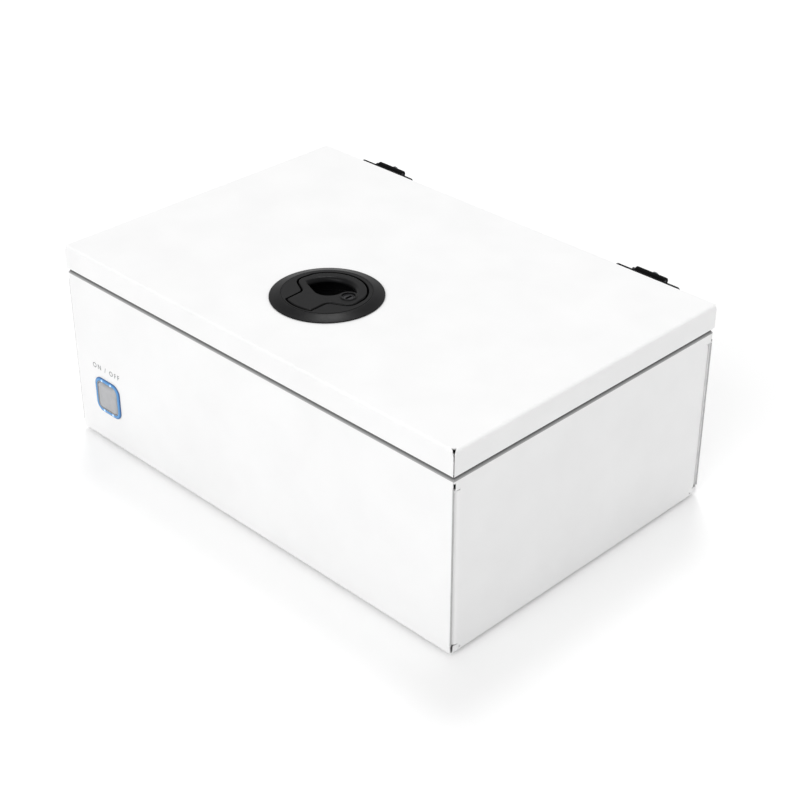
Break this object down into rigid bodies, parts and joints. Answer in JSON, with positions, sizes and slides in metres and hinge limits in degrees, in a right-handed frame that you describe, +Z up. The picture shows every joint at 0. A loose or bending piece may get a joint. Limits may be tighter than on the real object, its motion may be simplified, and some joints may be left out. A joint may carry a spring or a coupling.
{
  "type": "disinfection box",
  "caption": "Tabletop disinfection box: folded white steel case, hinged lid with a flush lift-and-turn latch, lit start button, and a closed bay with fan and ozone cell.",
  "frame": {"origin": "middle of the whole footprint, hinges and inlet included, on the surface the feet stand on", "axes": "+X to the box's right seen from the front with the button, +Y to the rear where the hinges are, +Z up"},
  "size_m": [0.6042, 0.4186, 0.2492],
  "materials": {
    "case_paint": "fine white powder coat, satin",
    "zinc": "zinc plated, satin",
    "steel": "bright steel, satin",
    "black_steel": "blackened steel, satin",
    "black_nylon": "black moulded nylon, fine grain",
    "rubber": "black rubber, matt",
    "seal_foam": "black closed-cell foam",
    "blue_lens": "translucent blue, polished",
    "silver_cap": "silver grey, satin",
    "circuit_board": "green solder mask",
    "grey_plastic": "grey moulded plastic",
    "ceramic": "fired ceramic, unglazed"
  },
  "bodies": {
    "case": {"body_shell": "case_paint", "rim_seal": "seal_foam", "foot_front_left": "rubber", "foot_front_right": "rubber", "foot_rear_left": "rubber", "foot_rear_right": "rubber", "foot_screw_front_left": "zinc", "foot_screw_front_right": "zinc", "foot_screw_rear_left": "zinc", "foot_screw_rear_right": "zinc", "bay_partition": "case_paint", "bay_cover": "case_paint", "latch_keeper": "zinc", "keeper_screw_left": "zinc", "keeper_screw_right": "zinc", "button_ring": "blue_lens", "button_socket": "black_nylon", "button_clip": "zinc", "button_switch": "black_nylon", "mains_inlet": "black_nylon", "inlet_pin_live": "zinc", "inlet_pin_earth": "zinc", "inlet_pin_neutral": "zinc", "inlet_screw_front": "zinc", "inlet_screw_rear": "zinc", "power_supply": "zinc", "control_board": "circuit_board", "air_duct": "grey_plastic", "ozone_cell": "ceramic", "fan_frame": "black_nylon", "lid_sensor": "black_nylon", "hinge_bracket_left": "black_nylon", "hinge_bracket_right": "black_nylon", "hinge_pin_left": "black_steel", "hinge_pin_right": "black_steel", "hinge_setting_cap_left": "grey_plastic", "hinge_setting_cap_right": "grey_plastic"},
    "lid": {"lid_shell": "case_paint", "lid_liner": "case_paint", "hinge_leaf_left": "black_nylon", "hinge_leaf_right": "black_nylon", "latch_bezel": "black_nylon", "latch_nut": "grey_plastic", "lid_magnet": "zinc"},
    "latch": {"latch_disc": "black_nylon", "handle_pin": "black_steel", "latch_shaft": "steel", "latch_cam": "zinc", "cam_nut_upper": "zinc", "cam_nut_lower": "zinc"},
    "handle": {"latch_handle": "black_nylon", "lock_body": "black_steel"},
    "key": {"key_plug": "black_steel"},
    "button": {"button_cap": "silver_cap"},
    "fan": {"fan_rotor": "black_nylon"}
  },
  "joints": [
    {"name": "lid_hinge", "type": "hinge", "parent": "case", "child": "lid", "pos_m": [0, 0.20155, 0.2379], "axis": [-1, 0, 0], "range_deg": [0, 100]},
    {"name": "latch_turn", "type": "hinge", "parent": "lid", "child": "latch", "pos_m": [-0.001, -0.08265, 0.2425], "axis": [0, 0, 1], "range_deg": [-90, 0]},
    {"name": "handle_lift", "type": "hinge", "parent": "latch", "child": "handle", "pos_m": [-0.001, -0.11815, 0.2451], "axis": [1, 0, 0], "range_deg": [0, 75]},
    {"name": "key_turn", "type": "hinge", "parent": "handle", "child": "key", "pos_m": [0.0242, -0.07515, 0.2425], "axis": [0, 0, 1], "range_deg": [0, 90]},
    {"name": "button_press", "type": "slide", "parent": "case", "child": "button", "axis": [0, 1, 0], "range_m": [0, 0.0025], "stiffness_N_per_m": 700},
    {"name": "fan_spin", "type": "hinge", "parent": "case", "child": "fan", "pos_m": [-0.0404, -0.13535, 0.119], "axis": [0, 1, 0], "continuous": true}
  ]
}
